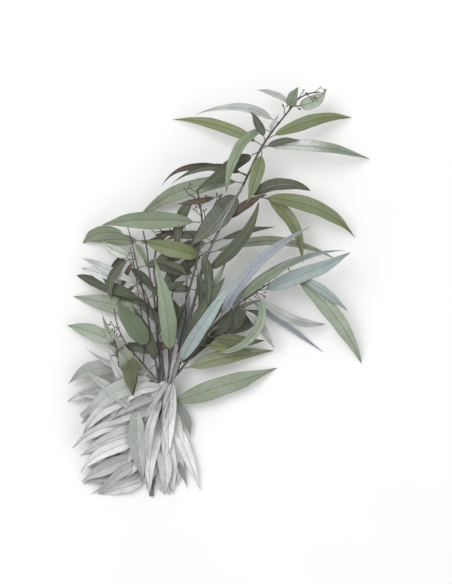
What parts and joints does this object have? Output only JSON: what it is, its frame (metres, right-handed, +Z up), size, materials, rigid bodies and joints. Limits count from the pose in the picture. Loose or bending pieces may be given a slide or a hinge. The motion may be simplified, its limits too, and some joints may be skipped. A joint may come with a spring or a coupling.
{
  "type": "preserved eucalyptus sprig",
  "caption": "Cut and preserved eucalyptus sprig with forking woody twigs and long narrow sickle leaves in sage, olive and blue grey, lying flat.",
  "frame": {"origin": "on the surface that the sprig lies on, under the middle of its box", "axes": "+Z up from the surface, +Y from the cut end towards the leader's tip, +X to the right seen from above"},
  "size_m": [0.4034, 0.5358, 0.0862],
  "materials": {
    "bark": "dry bark, fine lengthwise ridges, dull",
    "sage_leaf": "sage green, satin, fine side veins",
    "green_leaf": "olive green, satin, pale midrib",
    "dark_leaf": "dark grey green, satin to dull",
    "brown_leaf": "withered brown green, dull",
    "silver_leaf": "pale silver grey, waxy and dull",
    "blue_leaf": "blue grey with a waxy bloom",
    "lilac_leaf": "lilac grey with a waxy bloom"
  },
  "bodies": {
    "root": {"main_stem": "bark", "shoulder_twig": "bark", "left_twig": "bark", "outer_twig": "bark", "silver_twig": "bark", "right_twig": "bark", "basal_twig": "bark", "crown_leaf_1": "silver_leaf", "crown_leaf_2": "sage_leaf", "crown_leaf_3": "green_leaf", "crown_leaf_4": "sage_leaf", "crown_leaf_5": "silver_leaf", "crown_leaf_6": "green_leaf", "crown_leaf_7": "sage_leaf", "crown_leaf_8": "green_leaf", "crown_leaf_9": "dark_leaf", "upper_leaf_1": "brown_leaf", "upper_leaf_2": "sage_leaf", "upper_leaf_3": "dark_leaf", "upper_leaf_4": "sage_leaf", "upper_leaf_5": "dark_leaf", "upper_leaf_6": "green_leaf", "upper_leaf_7": "green_leaf", "upper_leaf_8": "dark_leaf", "lower_leaf_1": "blue_leaf", "lower_leaf_2": "dark_leaf", "lower_leaf_3": "blue_leaf", "lower_leaf_4": "silver_leaf", "lower_leaf_5": "sage_leaf", "lower_leaf_6": "silver_leaf", "lower_leaf_7": "silver_leaf", "shoulder_leaf_1": "sage_leaf", "shoulder_leaf_2": "sage_leaf", "left_leaf_1": "silver_leaf", "left_leaf_2": "sage_leaf", "left_leaf_3": "sage_leaf", "left_leaf_4": "dark_leaf", "left_leaf_5": "silver_leaf", "left_leaf_6": "dark_leaf", "left_leaf_7": "sage_leaf", "outer_leaf_1": "sage_leaf", "outer_leaf_2": "dark_leaf", "basal_leaf_1": "silver_leaf", "basal_leaf_2": "silver_leaf", "basal_leaf_3": "silver_leaf", "basal_leaf_4": "silver_leaf", "right_leaf_1": "dark_leaf", "right_leaf_2": "green_leaf", "right_leaf_3": "green_leaf", "silver_leaf_1": "green_leaf", "silver_leaf_2": "dark_leaf", "silver_leaf_3": "lilac_leaf", "silver_leaf_4": "blue_leaf", "silver_leaf_5": "sage_leaf", "silver_leaf_6": "sage_leaf", "silver_leaf_7": "lilac_leaf", "silver_leaf_8": "silver_leaf", "silver_leaf_9": "blue_leaf", "silver_leaf_10": "sage_leaf", "silver_leaf_11": "blue_leaf"}
  },
  "joints": []
}
